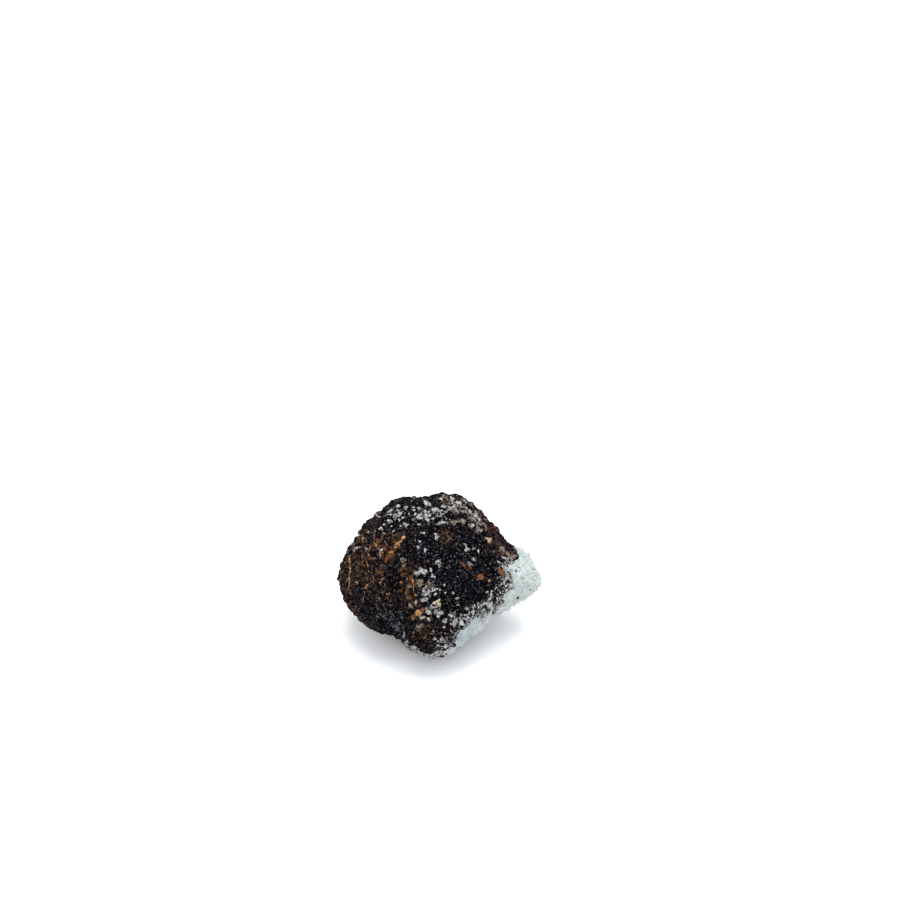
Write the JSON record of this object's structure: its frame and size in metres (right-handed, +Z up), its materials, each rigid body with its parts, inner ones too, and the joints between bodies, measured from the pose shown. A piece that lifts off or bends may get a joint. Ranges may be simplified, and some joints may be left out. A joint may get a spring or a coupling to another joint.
{
  "type": "black truffle",
  "caption": "Whole black truffle, a lumpy warty fruiting body with a deep front fold and a blunt nose, resting on a small flat spot.",
  "frame": {"origin": "in the plane that the truffle rests on, under the middle of its bounding box", "axes": "+X along the longest extent, to the nose; +Z up, from the flat spot; -Y to the front with the deep fold"},
  "size_m": [0.059, 0.0472, 0.0381],
  "materials": {
    "truffle_skin": "rough, warty, near-black skin with brown and ochre in the grooves",
    "frost": "white granular frost, matte with a fine sparkle"
  },
  "bodies": {
    "root": {"truffle": "truffle_skin"}
  },
  "joints": []
}
